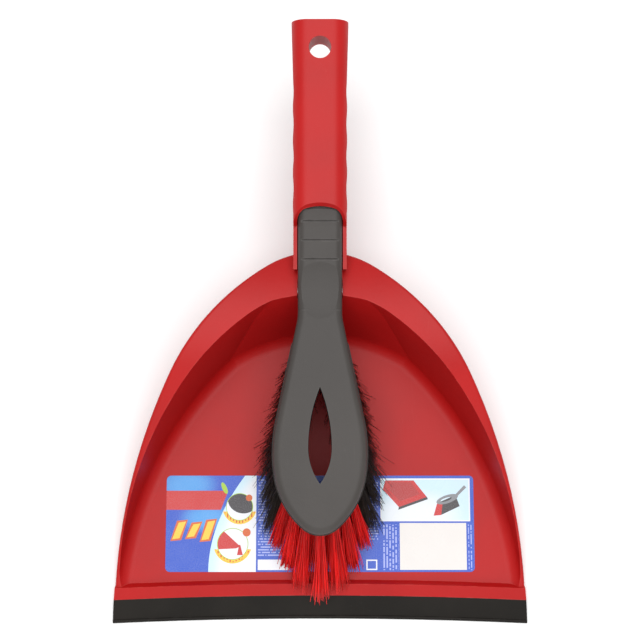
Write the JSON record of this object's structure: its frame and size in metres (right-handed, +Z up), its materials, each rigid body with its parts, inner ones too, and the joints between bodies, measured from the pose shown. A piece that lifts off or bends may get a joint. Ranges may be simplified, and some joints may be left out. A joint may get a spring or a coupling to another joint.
{
  "type": "dust pan and brush set",
  "caption": "Hand dustpan with a hollow handle and soft front lip, and a hand brush whose bar slides into the handle so that the two store as one piece.",
  "frame": {"origin": "centre of the object's footprint, on the surface that it stands on", "axes": "+X to the right of someone holding the handle and looking along it towards the lip's back, +Y from the lip towards the end of the handle, +Z up"},
  "size_m": [0.2252, 0.3121, 0.0828],
  "materials": {
    "red_plastic": "satin moulded",
    "lip_rubber": "matte",
    "label_film": "glossy print",
    "grey_plastic": "fine satin",
    "block_plastic": "matte",
    "black_bristle": "satin filament",
    "red_bristle": "satin filament",
    "staple_steel": "drawn wire"
  },
  "bodies": {
    "dustpan": {"pan_body": "red_plastic", "rubber_lip": "lip_rubber", "label": "label_film"},
    "brush": {"brush_handle": "grey_plastic", "brush_block": "block_plastic", "tuft_staples": "staple_steel", "black_tuft_01": "black_bristle", "black_tuft_02": "black_bristle", "black_tuft_03": "black_bristle", "black_tuft_04": "black_bristle", "black_tuft_05": "black_bristle", "black_tuft_06": "black_bristle", "black_tuft_07": "black_bristle", "black_tuft_08": "black_bristle", "black_tuft_09": "black_bristle", "black_tuft_10": "black_bristle", "black_tuft_11": "black_bristle", "black_tuft_12": "black_bristle", "black_tuft_13": "black_bristle", "black_tuft_14": "black_bristle", "black_tuft_15": "black_bristle", "black_tuft_16": "black_bristle", "black_tuft_17": "black_bristle", "black_tuft_18": "black_bristle", "black_tuft_19": "black_bristle", "black_tuft_20": "black_bristle", "black_tuft_21": "black_bristle", "black_tuft_22": "black_bristle", "black_tuft_23": "black_bristle", "black_tuft_24": "black_bristle", "black_tuft_25": "black_bristle", "black_tuft_26": "black_bristle", "black_tuft_27": "black_bristle", "black_tuft_28": "black_bristle", "black_tuft_29": "black_bristle", "black_tuft_30": "black_bristle", "black_tuft_31": "black_bristle", "black_tuft_32": "black_bristle", "black_tuft_33": "black_bristle", "black_tuft_34": "black_bristle", "black_tuft_35": "black_bristle", "black_tuft_36": "black_bristle", "red_tuft_01": "red_bristle", "red_tuft_02": "red_bristle", "red_tuft_03": "red_bristle", "red_tuft_04": "red_bristle", "red_tuft_05": "red_bristle", "red_tuft_06": "red_bristle", "red_tuft_07": "red_bristle", "red_tuft_08": "red_bristle", "red_tuft_09": "red_bristle", "red_tuft_10": "red_bristle", "red_tuft_11": "red_bristle", "red_tuft_12": "red_bristle"}
  },
  "joints": [
    {"name": "brush_slide", "type": "slide", "parent": "dustpan", "child": "brush", "axis": [0, -1, 0], "range_m": [0, 0.25]}
  ]
}
